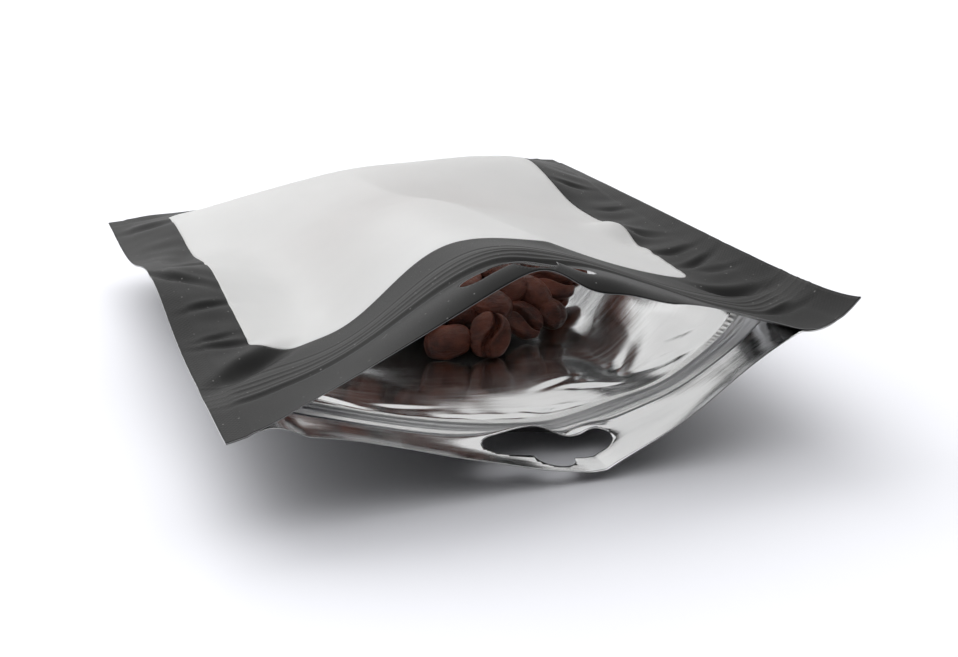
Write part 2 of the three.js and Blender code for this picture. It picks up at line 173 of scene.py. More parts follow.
# Wrinkles in the foil behind the zip
BACK_DENTS = (
    (32, 49, -20, 6, 1.5, 1.0), (15, 40, -16, 6, 1.2, 0.8), (51, 45, -48, 5, 1.6, 0.9),
    (-5, 38.5, 0, 10, 1.4, 0.5), (-45, 41, -22, 7, 2.0, 0.6), (60, 52, -60, 7, 2.4, 0.8),
    (24, 58, 25, 7, 2.2, 0.5), (44, 62, 50, 9, 3.0, 0.6), (-26, 44, 8, 8, 1.6, 0.4),
)
# The back lip hangs lower on the right: x, half width across, half width along, rise
LIP_SAG = (34, 17, 13, -2.5)
# Behind the zip the belly is flatter: its middle, half widths and share
FLAT_FLOOR = {"x": 41, "across": 9.5, "t": 92, "along": 40, "share": 0.9}
LIP_CREASE = {"x": 13.7, "depth": 1.3, "run": 5, "fades": (14, 22)}

# Beans at the mouth side of the heap: x, y, z of the middle, length, width, then the way the
# flat side looks (degrees to the right of the mouth, degrees up) and the slant of the groove
FRONT_BEANS = (
    (2.6, -11.4, 5.5, 13.4, 9.6, 165, -35, -14),
    (14.1, -14.0, 7.2, 13.1, 11.8, -10, 24, 78),
    (27.9, -3.8, 6.9, 12.4, 10.8, 12, 42, -42),
    (37.7, 0.4, 6.8, 10.8, 9.0, 150, -20, 30),
    (40.7, 6.8, 13.8, 15.0, 10.8, 4, 52, -9),
    (25.4, 3.4, 14.4, 12.8, 9.8, 170, -30, -25),
    (7.9, -3.6, 11.2, 12.4, 9.6, 200, -40, 30),
    (17.6, -5.2, 12.6, 12.2, 9.4, 160, -60, 10),
    (-1.0, -5.4, 12.0, 12.0, 9.6, 10, 70, 35),
    (33.6, 3.0, 12.2, 11.8, 9.2, 175, -25, 50),
    (46.2, 18.0, 5.9, 11.0, 8.6, 60, 84, 30),
    (49.4, 13.5, 13.8, 11.2, 8.8, 165, -30, -20),
    (43.0, 18.5, 15.6, 11.8, 9.2, 10, 75, 20),
)
# Shape of a bean of length, width and height 1
BEAN = {"girth": 0.74, "sides": 0.86, "back": 0.6, "flat": 0.3, "groove": 0.4,
        "groove_run": 0.065, "lip": 0.06, "swing": 0.1}
# Steps along and sides round a bean that shows and one of the heap
FINE_BEAN = (48, 72)
PLAIN_BEAN = (20, 30)
BEAN_RIPPLES = {"height": 0.03, "waves": 6, "lengths": (3, 9)}
HEAP = {"x": 8, "y": 20, "along_x": 38, "along_y": 30, "rim": 7.1, "above": 14, "below": 6}
HEAP_LEAN = -0.22
CORE_SHRINK = 3.0
HEAP_BEANS = 84
BEAN_SPACE = 8.6
# Heap's beans: random tilts in degrees each way, share on their flat side, then length as a
# share of the usual one, and width and height as shares of that length
HEAP_TILTS = {"sideways": 20, "upwards": 22, "turned_over": 0.55}
HEAP_SIZES = {"length": (0.9, 1.06), "width": (0.74, 0.84), "height": 0.6}
FRONT_BEAN_HEIGHT = 0.62
GOLDEN_ANGLE = math.pi * (3 - math.sqrt(5))

# Finish: share of light let through at the window's inner face, soft edge of the painted sheen
# band over the zip
INNER_FROST_LIGHT = 0.94
PAINTED_SHEEN_BAND = (11.5, 3.0)

# Back film's grid: fine up to here, then steps along and across as shares of the front's
BACK_GRID = {"fine_until": 62, "near": 1.1, "far": 2.2, "across": 1.25, "reach": 0.6}

# Camera at the photograph's viewing angle
CAMERA_PLACE = (-0.11045, -0.36935, 0.13715)
CAMERA_DOWN = 18.78
CAMERA_ROUND = -18.86
CAMERA_LENS = 53.2
CAMERA_SENSOR = 36

# Stage: floor half width in mm, sky direction and where it turns from dim to bright, key light
FLOOR_REACH = 9000
LIGHT_SIDE = (-0.25, 0.58, 0.77)
SKY_TURNS = (-0.08, 0.5)
KEY_PLACE = (-0.4, 1.05, 1.25)
KEY_SIZE = (1.6, 1.2)


# ---- formulas

def gauss(q):
    return np.exp(-q * q)


def bell(q, place):
    """Gaussian about a place's middle, as wide as its run."""
    return gauss((q - place["at"]) / place["run"])


def smooth(x, low, high):
    """0 below low, 1 above high, and the cubic 3u^2 - 2u^3 between them."""
    u = np.clip((x - low) / (high - low), 0, 1)
    return u * u * (3 - 2 * u)


def mix(a, b, u):
    return a + (b - a) * u


def hump(s, place):
    """Rounded hump of height 1 that ends left and right of its middle, part tent, part cosine."""
    q, peak = s - place["at"], place["peak"]
    reach = np.where(q < 0, -q / place["left"], q / place["right"])
    distance = np.clip(np.hypot(reach, CREST_ROUNDING) - CREST_ROUNDING, 0, 1)
    return peak * (1 - distance) + (1 - peak) * 0.5 * (1 + np.cos(np.pi * distance))


def apart(s, t):
    """0 inside the seals, 1 where the films have come apart."""
    side = smooth((1 - np.abs(s)) * HALF - SIDE_SEAL, 0, SIDE_OPENING_RUN)
    return side * smooth(LENGTH - t - BOTTOM_SEAL, 0, BOTTOM_OPENING_RUN)


def plan_x(s, t):
    return s * HALF * (1 - MOUTH_NARROWING * gauss(t / NARROWING_RUN))


def front_y(s, t):
    return t + FRONT_SETBACK * np.exp(-t / SETBACK_RUN) * (1 - s * s) * apart(s, t)


def back_y(s, t):
    reach = BACK_REACH * np.exp(-t / BACK_REACH_RUN)
    setback = BACK_SETBACK * np.exp(-t / SETBACK_RUN) * (1 - s * s)
    return t + (setback - reach) * apart(s, t)


def seal_plane(s, t):
    """Straight line between the two side seals, plus the curled rim on the right."""
    along = t / LENGTH
    lift = LEFT_LIFT["rise"] * bell(t, LEFT_LIFT)
    left = LEFT_SEAL_HEIGHT + lift - LEFT_SEAL_FALL * along
    right = RIGHT_SEAL_HEIGHT + RIGHT_SEAL_CLIMB * along
    rim = np.clip((s - RIGHT_RIM["start"]) / (1 - RIGHT_RIM["start"]), 0, 1)
    return mix(left, right, (s + 1) / 2) + RIGHT_RIM["rise"] * rim * rim * (1 - along)


def front_height(s, t):
    """Seal plane, plus the lip's arch fading into the ridge, minus the hollow, plus the pillow."""
    lip = np.exp(-t / LIP_RUN)
    arch = (LIP_ARCH["rise"] * hump(s, LIP_ARCH) + LIP_SHOULDER["rise"] * bell(s, LIP_SHOULDER)
            - LIP_DIP["depth"] * bell(s, LIP_DIP))
    across = s - RIDGE["at"]
    ridge = (RIDGE["rise"] * (1 - t / RIDGE["length"])
             * gauss(across / np.where(across < 0, RIDGE["left"], RIDGE["right"]))
             * (1 - s ** RIDGE["edge"]) * np.clip((LENGTH - t) / RIDGE_END_RUN, 0, 1))
    hollow = (LEFT_HOLLOW["depth"] * bell(s, LEFT_HOLLOW)
              * gauss((t - LEFT_HOLLOW["along"]) / LEFT_HOLLOW["reach"]))
    pillow = (PILLOW["rise"] * (1 - s * s) * (1 + PILLOW["lean"] * s)
              * bell(t, PILLOW) * (1 - np.exp((t - LENGTH) / PILLOW["seam"])))
    shoulder = (FAR_SHOULDER["rise"] * bell(s, FAR_SHOULDER)
                * (1 - s ** FAR_SHOULDER["edge"]) * smooth(t, *FAR_SHOULDER["along"]))
    return seal_plane(s, t) + lip * arch + (1 - lip) * ridge - hollow + pillow + shoulder


def belly_height(s, t):
    """Trough fading into a belly, levelled off with a parabola where it meets the floor."""
    right = BACK_RIGHT_HEIGHT - BACK_RIGHT_FALL * t / LENGTH
    rim = mix(BACK_LEFT_HEIGHT, right, (s + 1) / 2)
    mouth = np.exp(-t / TROUGH_RUN)
    trough = TROUGH["depth"] * hump(s, TROUGH)
    across = np.abs((s - BELLY["at"]) / np.where(s < BELLY["at"], BELLY["left"], BELLY["right"]))
    depth = BELLY["depth"] + BELLY["extra"] * smooth(t, *BELLY_DEEPENS)
    height = rim - mouth * trough - (1 - mouth) * depth * (1 - across ** BELLY["power"])
    level = (height + TABLE_BLEND) ** 2 / (4 * TABLE_BLEND)
    return np.where(height >= TABLE_BLEND, height, np.where(height <= -TABLE_BLEND, 0, level))


def lip_humps(s, t):
    """Humps that rise beyond the back lip's hang hole."""
    at, run = HUMPS_ALONG
    total = np.zeros_like(s)
    for rise, x, left, right in LIP_HUMPS:
        across = s * HALF - x
        total += rise * gauss(across / np.where(across < 0, left, right)) * gauss((t - at) / run)
    return total


def dents(x, t, table):
    """Sum of soft creases: along each a Gaussian, across it a Gaussian's slope, so one side
    rises while the other sinks."""
    total = np.zeros_like(x)
    for x0, t0, heading, length, width, depth in table:
        turn = math.radians(heading)
        along = (x - x0) * math.cos(turn) + (t - t0) * math.sin(turn)
        across = (t - t0) * math.cos(turn) - (x - x0) * math.sin(turn)
        q = across / width
        total += depth * (q - 0.5) * gauss(q) * gauss(along / length)
    return total


def ribs(t, table):
    return sum(height * gauss((t - at) / width) for at, height, width in table)


def ripples(x, t, height, seed, waves, shortest, longest):
    """Sum of seeded plane waves of random heading, about as high as height."""
    random = np.random.default_rng(seed)
    total = np.zeros_like(x)
    for _ in range(waves):
        length = random.uniform(shortest, longest)
        turn = random.uniform(0, math.pi)
        phase = random.uniform(0, 2 * math.pi)
        total += np.sin(2 * math.pi * (x * math.cos(turn) + t * math.sin(turn)) / length + phase)
    return height * total / math.sqrt(waves)


def pressed_in(inwards, seal):
    """Depth of a seal that is this wide, at a distance inwards from the sheet's edge."""
    run = SEAL_PRESS["run"]
    return SEAL_PRESS["depth"] * (1 - smooth(inwards, seal - run, seal + run))


def front_relief(s, t):
    """Fine shape of the front film: the zip showing through, pressed seals, dents, a soft fold
    in the window, ripples."""
    x = s * HALF
    edge = HALF - np.abs(x)
    loose = smooth(edge, SIDE_SEAL - 0.5, SIDE_SEAL + 3)
    zip_marks = ribs(t, IMPRINT_RIBS) * mix(0.35, 1, loose)
    at, depth, width = IMPRINT_VALLEY
    valley = depth * gauss((t - at) / width) * smooth(edge, 1, 12) * mix(1.4, 0.7, (s + 1) / 2)
    pressed = pressed_in(edge, SIDE_SEAL) + pressed_in(LENGTH - t, BOTTOM_SEAL)
    border = gauss((edge - 11) / 7) * smooth(t, 30, 45)
    puckers = border * ripples(x * 0.5, t, *FRONT_PUCKERS)
    waves = loose * ripples(x, t, *FRONT_WAVES)
    swellings = sum(height * gauss(np.hypot(x - x0, t - t0) / width)
                    for x0, t0, width, height in FRONT_BUMPS)
    across = x - FOLD["x"] - FOLD["slope"] * (t - FOLD["t"])
    fold = (FOLD["height"] * np.exp(-np.hypot(across, FOLD["rounding"]) / FOLD["run"])
            * smooth(t, *FOLD["starts"]) * (1 - smooth(t, *FOLD["ends"])))
    lip = sum(rise * gauss((t - at) / width) * gauss((x - middle) / run)
              for at, width, rise, middle, run in LIP_WAVES)
    return (zip_marks - valley - pressed + dents(x, t, FRONT_DENTS) + puckers + waves
            + swellings * loose + fold + lip)


def back_relief(s, t):
    """Fine shape of the back film: wrinkles along the zip, a crease in the lip, ripples."""
    x = s * HALF
    crease = (LIP_CREASE["depth"] * np.exp(-np.abs(x - LIP_CREASE["x"]) / LIP_CREASE["run"])
              * (1 - smooth(t, *LIP_CREASE["fades"])))
    gathers = gauss((t - ZIP_FAR - 3) / 4) * ripples(x, t * 0.3, *BACK_GATHERS)
    lip = (1 - smooth(t, 10, 22)) * ripples(x, t, *BACK_LIP_RIPPLES)
    waves = smooth(t, 34, 60) * ripples(x, t, *BACK_WAVES)
    middle, across, along, rise = LIP_SAG
    sag = rise * gauss((x - middle) / across) * gauss(t / along)
    return apart(s, t) * (gathers + lip + waves + sag + dents(x, t, BACK_DENTS) - crease)


def front_point(s, t, rise=0.0):
    height = front_height(s, t) + front_relief(s, t) + rise
    return np.stack([plan_x(s, t), front_y(s, t) - LENGTH / 2, height], -1)


def back_surface(s, t, film):
    """The sealed height where the films touch, the belly where they part; always below the
    front film and above the floor."""
    front, relief = front_height(s, t), front_relief(s, t)
    sealed = front + (1 - apart(s, t)) * relief - SEAL_STEP
    flat = (FLAT_FLOOR["share"]
            * gauss((s * HALF - FLAT_FLOOR["x"]) / FLAT_FLOOR["across"])
            * gauss((t - FLAT_FLOOR["t"]) / FLAT_FLOOR["along"]))
    belly = belly_height(s, t) * (1 - flat) + lip_humps(s, t) + film / 2
    height = sealed - apart(s, t) * np.maximum(sealed - belly, 0) + back_relief(s, t)
    return np.maximum(np.minimum(height, front + relief - SEAL_STEP), film / 2)


def back_point(s, t, rise=0.0, film=FILM):
    return np.stack([plan_x(s, t), back_y(s, t) - LENGTH / 2,
                     back_surface(s, t, film) + rise], -1)


# ---- outlines and grids

def window_distance(s, t):
    """Distance from the window's rounded rectangle in the flat sheet, negative inside it."""
    left = -HALF + WINDOW["left"]
    right = HALF - WINDOW["right"] - WINDOW_NARROWS["by"] * smooth(t, *WINDOW_NARROWS["along"])
    across = np.abs(s * HALF - (left + right) / 2) - (right - left) / 2 + WINDOW["corner"]
    along = (np.abs(t - (WINDOW["near"] + WINDOW["far"]) / 2)
             - (WINDOW["far"] - WINDOW["near"]) / 2 + WINDOW["corner"])
    outside = np.hypot(np.maximum(across, 0), np.maximum(along, 0))
    return outside + np.minimum(np.maximum(across, along), 0) - WINDOW["corner"]


def hang_distance(at, along):
    """Distance from a slot with round ends joined to a round bump, negative inside it; at is
    its middle across the pouch, and along gives a film's place along it."""
    radius = (HANG_SLOT["far"] - HANG_SLOT["near"]) / 2
    straight = HANG_SLOT["width"] / 2 - radius
    middle = (HANG_SLOT["near"] + HANG_SLOT["far"]) / 2

    def distance(s, t):
        x = plan_x(s, t) - at
        y = along(s, t) - middle
        slot = np.hypot(np.maximum(np.abs(x) - straight, 0), y) - radius
        bump = np.hypot(x, y + radius) - HANG_SLOT["bump"]
        return np.minimum(slot, bump)

    return distance


def slope_of(distance, s, t):
    """Change of the distance for a millimetre across and along the sheet."""
    step = 0.05
    across = (distance(s + step / HALF, t) - distance(s - step / HALF, t)) / (2 * step)
    along = (distance(s, t + step) - distance(s, t - step)) / (2 * step)
    return across, along


def drawn_to(distance, s, t, reach):
    """Grid points within reach of an outline are moved onto it, except at the sheet's edges."""
    for _ in range(3):
        d = distance(s, t)
        across, along = slope_of(distance, s, t)
        size = np.maximum(across ** 2 + along ** 2, 1e-6)
        moved = (np.abs(d) <= reach) & (np.abs(s) < 1) & (t > 0) & (t < LENGTH)
        s = np.where(moved, s - d * across / size / HALF, s)
        t = np.where(moved, t - d * along / size, t)
    return s, t


def cells(rows, columns, sides):
    """Two triangles for each cell of a grid, cut along the diagonal that follows the outlines.
    sides holds, for each outline, -1, 0 or 1 at each point."""
    index = np.arange(rows * columns).reshape(rows, columns)
    a, b = index[:-1, :-1].ravel(), index[:-1, 1:].ravel()
    c, d = index[1:, 1:].ravel(), index[1:, :-1].ravel()
    other = np.zeros(len(a), bool)
    for side in sides:
        flat = side.ravel()
        other |= (flat[a] * flat[c] < 0) & (flat[b] == 0) & (flat[d] == 0)
    plain = np.stack([a, b, c, a, c, d], -1)
    turned = np.stack([a, b, d, b, c, d], -1)
    return np.where(other[:, None], turned, plain).reshape(-1, 3)


def sheet_triangles(s_lines, t_lines, distances, reach):
    """Grid of the flat sheet whose lines follow the outlines: s and t of its points, its
    triangles, and for each outline whether a triangle lies outside it."""
    s, t = np.meshgrid(s_lines, t_lines)
    for distance in distances:
        s, t = drawn_to(distance, s, t, reach)
    sides = [np.where(np.abs(distance(s, t)) < ON_OUTLINE, 0, np.sign(distance(s, t)))
             for distance in distances]
    triangles = cells(len(t_lines), len(s_lines), sides)
    s, t = s.ravel(), t.ravel()
    middle_s, middle_t = s[triangles].mean(1), t[triangles].mean(1)
    outside = [distance(middle_s, middle_t) > 0 for distance in distances]
    return s, t, triangles, outside


def spaced(start, end, step):
    return np.linspace(start, end, int(round((end - start) / step)) + 1)


def sheet_columns(step):
    """Lines across the sheet, one of them on each seal's inner edge."""
    inner = 1 - SIDE_SEAL / HALF
    middle = spaced(-inner, inner, step / HALF)
    seal = spaced(inner, 1, step / HALF)
    return np.concatenate([-seal[:0:-1], middle, seal[1:]])


# ---- mesh making

def new_piece(name, points, triangles, uv=None, slots=None):
    """Smooth mesh object at the origin from points in millimetres and rows of three corners."""
    used, corners = np.unique(np.asarray(triangles, np.int32), return_inverse=True)
    corners = corners.reshape(-1).astype(np.int32)
    count = len(corners) // 3
    mesh = bpy.data.meshes.new(name)
    mesh.vertices.add(len(used))
    mesh.vertices.foreach_set("co", (points[used] * MM).astype(np.float32).ravel())
    mesh.loops.add(len(corners))
    mesh.loops.foreach_set("vertex_index", corners)
    mesh.polygons.add(count)
    mesh.polygons.foreach_set("loop_start", np.arange(0, len(corners), 3, dtype=np.int32))
    mesh.polygons.foreach_set("loop_total", np.full(count, 3, np.int32))
    mesh.polygons.foreach_set("use_smooth", np.full(count, True))
    if slots is not None:
        mesh.polygons.foreach_set("material_index", np.asarray(slots, np.int32))
    if uv is not None:
        layer = mesh.uv_layers.new(name="Sheet")
        layer.data.foreach_set("uv", uv[used][corners].astype(np.float32).ravel())
    mesh.update(calc_edges=True)
    mesh.validate()
    return linked(bpy.data.objects.new(name, mesh))


def linked(thing):
    bpy.context.scene.collection.objects.link(thing)
    return thing


def coat(piece, *materials):
    for material in materials:
        piece.data.materials.append(material)


def sheet_uv(s, t):
    """The flat sheet itself, in units of 100 mm."""
    return np.stack([(s * HALF + HALF) / UV_SPAN, t / UV_SPAN], -1)


def thicken(piece, thickness, inside, rim):
    """Gives a sheet its wall; inside and rim say how many slots on their materials are."""
    wall = piece.modifiers.new("Film thickness", "SOLIDIFY")
    wall.thickness = thickness
    wall.offset = 0
    wall.use_even_offset = False
    wall.material_offset = inside
    wall.material_offset_rim = rim


def settle(piece, slot, *nodes):
    """Makes a piece part of the model: its body and the nodes it stands for; slot is not used."""
    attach(piece, BODY)
    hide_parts(*nodes)


# ---- materials

class Nodes:
    """A new material, or a new world, and short ways to add nodes to it."""

    def __init__(self, name, library=None):
        self.owner = (bpy.data.materials if library is None else library).new(name)
        self.owner.use_nodes = True
        self.tree = self.owner.node_tree
        self.bsdf = self.tree.nodes.get("Principled BSDF")

    def add(self, kind, inputs=(), **settings):
        node = self.tree.nodes.new(kind)
        for key, value in settings.items():
            setattr(node, key, value)
        for key, value in dict(inputs).items():
            self.feed(node.inputs[key], value)
        return node

    def feed(self, socket, value):
        if isinstance(value, bpy.types.NodeSocket):
            self.tree.links.new(value, socket)
        else:
            socket.default_value = value

    def shader(self, **values):
        for key, value in values.items():
            self.feed(self.bsdf.inputs[key.replace("_", " ")], value)

    def math(self, operation, a, b=0.0):
        return self.add("ShaderNodeMath", {0: a, 1: b}, operation=operation).outputs[0]

    def wave(self, value, pitch):
        return self.math("SINE", self.math("MULTIPLY", value, 2 * math.pi / pitch))

    def split(self, vector):
        return self.add("ShaderNodeSeparateXYZ", {0: vector}).outputs

    def sheet(self):
        """The flat sheet's own coordinates, in millimetres."""
        uv = self.add("ShaderNodeUVMap", uv_map="Sheet").outputs[0]
        scale = (UV_SPAN, UV_SPAN, UV_SPAN)
        return self.add("ShaderNodeMapping", {0: uv, 3: scale}).outputs[0]

    def place(self):
        """Object coordinates in millimetres."""
        at = self.add("ShaderNodeTexCoord").outputs["Object"]
        scale = (1 / MM, 1 / MM, 1 / MM)
        return self.add("ShaderNodeMapping", {0: at, 3: scale}).outputs[0]

    def noise(self, vector, scale, detail=3.0, stretch=None, roughness=0.5):
        if stretch is not None:
            vector = self.add("ShaderNodeMapping", {0: vector, 3: stretch}).outputs[0]
        inputs = {"Vector": vector, "Scale": scale, "Detail": detail, "Roughness": roughness}
        return self.add("ShaderNodeTexNoise", inputs).outputs[0]

    def ramp(self, value, low, high, to_low=0.0, to_high=1.0):
        inputs = {0: value, 1: low, 2: high, 3: to_low, 4: to_high}
        return self.add("ShaderNodeMapRange", inputs).outputs[0]

    def blend(self, share, a, b):
        node = self.add("ShaderNodeMix", data_type="RGBA")
        self.feed(node.inputs[0], share)
        self.feed(node.inputs[6], a)
        self.feed(node.inputs[7], b)
        return node.outputs[2]

    def shades(self, share, value, low, high):
        """One colour, varied between two factors."""
        return self.blend(share, scaled(value, low), scaled(value, high))

    def bump(self, height, distance, strength=1.0, normal=None):
        inputs = {"Height": height, "Distance": distance * MM, "Strength": strength}
        if normal is not None:
            inputs["Normal"] = normal
        return self.add("ShaderNodeBump", inputs).outputs[0]


def scaled(value, factor):
    """A colour times a factor, with an alpha of 1."""
    return (*(part * factor for part in value), 1.0)


def colour(value):
    return scaled(value, 1.0)


def off_from(nodes, value, middle):
    return nodes.math("ABSOLUTE", nodes.math("SUBTRACT", value, middle))


def seal_knurl(nodes, sheet):
    """Crossed ridges pressed into the side and bottom seals and the zip's crushed ends."""
    x, t, _ = nodes.split(sheet)
    from_middle = off_from(nodes, x, HALF)
    side = nodes.ramp(from_middle, HALF - SIDE_SEAL, HALF - SIDE_SEAL + 0.3)
    bottom = nodes.ramp(t, LENGTH - BOTTOM_SEAL, LENGTH - BOTTOM_SEAL + 0.3)
    starts, ends = (HALF - place for place in CRUSHED_FROM)
    zip_end = nodes.math("MULTIPLY", nodes.ramp(from_middle, starts, ends),
                         nodes.ramp(off_from(nodes, t, ZIP_MIDDLE), ZIP_HALF + 0.4,
                                    ZIP_HALF - 0.4))
    where = nodes.math("MAXIMUM", nodes.math("MAXIMUM", side, bottom), zip_end)
    first = nodes.wave(nodes.math("ADD", x, t), SEAL_KNURL_PITCH)
    second = nodes.wave(nodes.math("SUBTRACT", x, t), SEAL_KNURL_PITCH)
    return nodes.math("MULTIPLY", nodes.math("MAXIMUM", first, second), where)


def zip_band(nodes, sheet):
    """1 where the zip lies under the film, with soft edges; it carries the painted sheen."""
    return nodes.ramp(off_from(nodes, nodes.split(sheet)[1], ZIP_MIDDLE), *PAINTED_SHEEN_BAND)


def charcoal_outside(film):
    """Matte charcoal print: soft sheen, fine grain, painted sheen in a paler band over the zip,
    pale dust, pressed seals."""
    nodes = Nodes("charcoal_film")
    sheet = nodes.sheet()
    cloud = nodes.noise(sheet, 0.06, 4)
    grain = nodes.noise(sheet, 2.4, 3, roughness=0.7)
    # Painted sheen: a paler grainy band over the zip stands in for the shine on the crest
    painted_sheen = nodes.math("MULTIPLY", zip_band(nodes, sheet), nodes.ramp(grain, 0.35, 0.65, 0.3, 1.0))
    tone = nodes.shades(nodes.ramp(cloud, 0.3, 0.7), film.charcoal, 0.8, 1.2)
    tone = nodes.blend(painted_sheen, tone, scaled(film.charcoal, 3.0))
    speck = nodes.add("ShaderNodeTexVoronoi", {"Vector": sheet, "Scale": 0.5}).outputs[0]
    dust = nodes.math("MULTIPLY", nodes.ramp(speck, 0.13, 0.07),
                      nodes.ramp(nodes.noise(sheet, 0.5, 1), 0.52, 0.6))
    nodes.shader(Base_Color=nodes.blend(nodes.math("MULTIPLY", dust, 0.7), tone,
                                        scaled(film.charcoal, 20)),
                 Roughness=nodes.ramp(grain, 0.3, 0.7, 0.46, 0.58), Specular_IOR_Level=0.06,
                 Sheen_Weight=0.05, Sheen_Roughness=0.4)
    knurled = nodes.bump(seal_knurl(nodes, sheet), 0.03, 0.5)
    nodes.shader(Normal=nodes.bump(grain, 0.045, 0.5, knurled))
    return nodes.owner


def charcoal_inside(film):
    """Underside of the printed film: the print seen through glossy clear film."""
    nodes = Nodes("charcoal_inside")
    cloud = nodes.noise(nodes.sheet(), 0.4, 3)
    nodes.shader(Base_Color=nodes.shades(cloud, film.charcoal, 0.35, 0.6), Roughness=0.25)
    return nodes.owner


def frosted(film, name, share):
    """Frosted window: matte pale film that lets a share of the light through, scattered."""
    nodes = Nodes(name)
    sheet = nodes.sheet()
    tone = nodes.shades(nodes.noise(sheet, 0.05, 3), film.window, 0.96, 1.04)
    frost = nodes.bump(nodes.noise(sheet, 6.0, 2), 0.012, 0.3)
    nodes.shader(Base_Color=tone, Roughness=0.42, Normal=frost)
    through = nodes.add("ShaderNodeBsdfTranslucent", {"Color": tone, "Normal": frost})
    both = nodes.add("ShaderNodeMixShader",
                     {0: share, 1: nodes.bsdf.outputs[0], 2: through.outputs[0]})
    nodes.feed(nodes.tree.nodes["Material Output"].inputs[0], both.outputs[0])
    return nodes.owner


def bright_foil(film):
    """Metallised inner face: mirror-like, with fine grain lines running across the pouch."""
    nodes = Nodes("bright_foil")
    sheet = nodes.sheet()
    lines = nodes.noise(sheet, 1.0, 4, stretch=(0.22, 3.2, 1.0), roughness=0.6)
    soft = nodes.noise(sheet, 1.0, 3, stretch=(0.05, 0.5, 1.0))
    nodes.shader(Base_Color=nodes.shades(lines, film.foil, 0.94, 1.03), Metallic=1.0,
                 Roughness=nodes.ramp(soft, 0.3, 0.7, 0.1, 0.17), Anisotropic=0.6,
                 Anisotropic_Rotation=0.25)
    tangent = nodes.add("ShaderNodeTangent", direction_type="UV_MAP", uv_map="Sheet")
    broad = nodes.bump(soft, 0.06, 0.5)
    nodes.shader(Tangent=tangent.outputs[0], Normal=nodes.bump(lines, 0.012, 0.6, broad))
    return nodes.owner


def cut_edge(film):
    """Cut edge of the laminate, a little paler than the print."""
    nodes = Nodes("cut_edge")
    grain = nodes.noise(nodes.place(), 3.0, 2)
    nodes.shader(Base_Color=nodes.shades(grain, film.edge, 0.8, 1.1), Roughness=0.4)
    return nodes.owner


def clear_zip(film):
    """Clear zip tape over foil: silvery, ribbed, finely knurled across its inner band."""
    nodes = Nodes("zip_plastic")
    sheet = nodes.sheet()
    x, t, _ = nodes.split(sheet)
    band = nodes.math("MULTIPLY", nodes.ramp(t, KNURL_FROM - 0.3, KNURL_FROM + 0.2),
                      nodes.ramp(t, ZIP_FAR, ZIP_FAR - 0.3))
    lines = nodes.noise(sheet, 1.0, 3, stretch=(0.1, 2.5, 1.0))
    knurl = nodes.bump(nodes.math("MULTIPLY", nodes.wave(x, KNURL_ACROSS), band), 0.05, 0.6)
    nodes.shader(Base_Color=nodes.shades(lines, film.zip, 0.88, 1.05), Metallic=0.92,
                 Roughness=0.34, Normal=nodes.bump(lines, 0.02, 0.5, knurl))
    return nodes.owner


def roasted(beans):
    """Dark roasted bean: brown in patches, wrinkled, with a slight oily sheen."""
    nodes = Nodes("roasted_bean")
    place = nodes.place()
    patches = nodes.noise(place, 0.13, 3)
    wrinkles = nodes.noise(place, 0.8, 5, stretch=(0.5, 1.0, 1.8), roughness=0.62)
    tone = nodes.blend(nodes.ramp(patches, 0.35, 0.68), colour(beans.dark), colour(beans.brown))
    light = nodes.blend(nodes.ramp(wrinkles, 0.52, 0.75, 0.0, 0.35), tone,
                        scaled(beans.brown, 1.5))
    nodes.shader(Base_Color=light, Roughness=nodes.ramp(wrinkles, 0.3, 0.7, 0.26, 0.45),
                 Normal=nodes.bump(wrinkles, 0.8, 0.9), Specular_IOR_Level=0.28)
    return nodes.owner


def heap_shade(beans):
    """Painted shade: the dark depth between the beans, darker than the darkest roast."""
    nodes = Nodes("heap_core")
    rough = nodes.noise(nodes.place(), 0.8, 3)
    nodes.shader(Base_Color=nodes.shades(rough, beans.dark, 0.4, 0.8), Roughness=0.8,
                 Normal=nodes.bump(rough, 0.5, 0.6))
    return nodes.owner


# ---- pieces

def build_front(film):
    """Frame and window of the front film share one grid, whose points lie on the window's edge."""
    step = film.grid / MM
    distances = (window_distance, hang_distance(FRONT_HANG, front_y))
    rows = np.concatenate([spaced(0, ZIP_NEAR, step), spaced(ZIP_NEAR, ZIP_FAR + 2, step / 2)[1:],
                           spaced(ZIP_FAR + 2, LENGTH, step)[1:]])
    s, t, triangles, outside = sheet_triangles(sheet_columns(step), rows, distances, step / 2)
    points = front_point(s, t)
    uv = sheet_uv(s, t)
    border = new_piece("front_film", points, triangles[outside[0] & outside[1]], uv)
    coat(border, charcoal_outside(film), charcoal_inside(film), cut_edge(film))
    thicken(border, film.thickness, 1, 2)
    settle(border, "charcoal_film", "front_panel")
    pane = new_piece("window_film", points, triangles[~outside[0]], uv)
    coat(pane, frosted(film, "frosted_film", film.window_light),
         frosted(film, "frosted_inside", INNER_FROST_LIGHT))
    thicken(pane, film.thickness, 1, 0)
    settle(pane, "frosted_film", "window")


def build_back(film):
    """Back film, fine at the mouth and coarser under the beans."""
    step = film.grid / MM
    turn = BACK_GRID["fine_until"]
    rows = np.concatenate([spaced(0, turn, step * BACK_GRID["near"]),
                           spaced(turn, LENGTH, step * BACK_GRID["far"])[1:]])
    columns = sheet_columns(step * BACK_GRID["across"])
    hole = hang_distance(BACK_HANG, back_y)
    s, t, triangles, outside = sheet_triangles(columns, rows, (hole,), step * BACK_GRID["reach"])
    points = back_point(s, t, film=film.thickness / MM)
    back = new_piece("back_film", points, triangles[outside[0]], sheet_uv(s, t))
    coat(back, bright_foil(film), charcoal_outside(film), cut_edge(film))
    thicken(back, film.thickness, 1, 2)
    settle(back, "foil_film", "back_panel")


